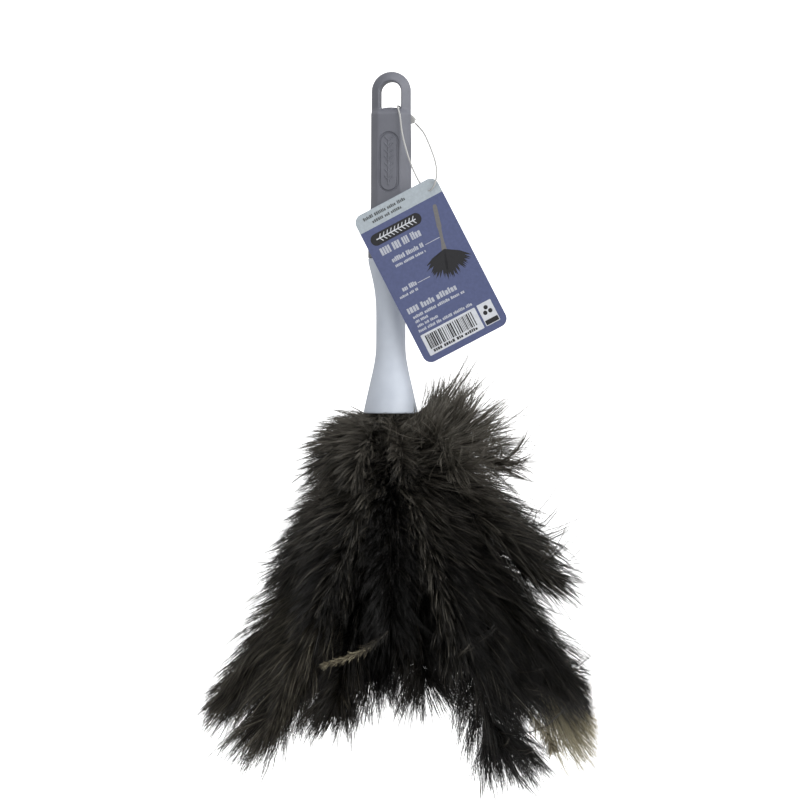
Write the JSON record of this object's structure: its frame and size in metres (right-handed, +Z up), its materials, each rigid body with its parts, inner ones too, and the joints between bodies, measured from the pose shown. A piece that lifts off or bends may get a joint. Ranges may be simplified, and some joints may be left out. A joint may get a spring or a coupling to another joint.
{
  "type": "feather duster",
  "caption": "Hand-held feather duster: slim two-tone moulded handle with a hanging loop, dark ostrich plumes wired round a rod in its flared mouth, and a card swing tag on a clear loop.",
  "frame": {"origin": "the top of the hanging hole in the grip, where a hook or peg bears", "axes": "+Z up along the handle, plumes at -Z; -Y is the front, the side with the oval panel; +X is to the right seen from the front"},
  "size_m": [0.1968, 0.134, 0.3863],
  "materials": {
    "grip_plastic": "fine matte moulded",
    "sleeve_plastic": "smooth satin moulded",
    "rod_wood": "bare turned hardwood",
    "wire": "drawn",
    "glue": "hot-melt adhesive",
    "feather": "soft, slightly lustrous barbs",
    "tag_card": "coated printed card",
    "string_nylon": "clear nylon"
  },
  "bodies": {
    "duster": {"grip": "grip_plastic", "sleeve": "sleeve_plastic", "core_rod": "rod_wood", "glue_plug": "glue", "binding_wire_inner": "wire", "binding_wire_middle": "wire", "binding_wire_outer": "wire", "plume_top_1": "feather", "plume_top_2": "feather", "plume_top_3": "feather", "plume_top_4": "feather", "plume_top_5": "feather", "plume_top_6": "feather", "plume_top_7": "feather", "plume_top_8": "feather", "plume_top_9": "feather", "plume_upper_1": "feather", "plume_upper_2": "feather", "plume_upper_3": "feather", "plume_upper_4": "feather", "plume_upper_5": "feather", "plume_upper_6": "feather", "plume_upper_7": "feather", "plume_upper_8": "feather", "plume_upper_9": "feather", "plume_upper_10": "feather", "plume_long_1": "feather", "plume_long_2": "feather", "plume_long_3": "feather", "plume_long_4": "feather", "plume_long_5": "feather", "plume_long_6": "feather", "plume_long_7": "feather", "plume_long_8": "feather", "plume_long_9": "feather", "plume_long_10": "feather", "plume_core_1": "feather", "plume_core_2": "feather", "plume_core_3": "feather", "plume_core_4": "feather", "plume_core_5": "feather", "plume_core_6": "feather", "plume_core_7": "feather", "plume_core_8": "feather"},
    "string_loop": {"tag_string": "string_nylon", "string_lock": "string_nylon"},
    "tag": {"tag_card": "tag_card"}
  },
  "joints": [
    {"name": "string_swing", "type": "hinge", "parent": "duster", "child": "string_loop", "pos_m": [0.0043, 0, -0.0135], "axis": [0, -1, 0], "range_deg": [0, 60]},
    {"name": "tag_swing", "type": "hinge", "parent": "string_loop", "child": "tag", "pos_m": [0.0232, -0.0145, -0.0606], "axis": [0, -1, 0], "range_deg": [-50, 50]}
  ]
}
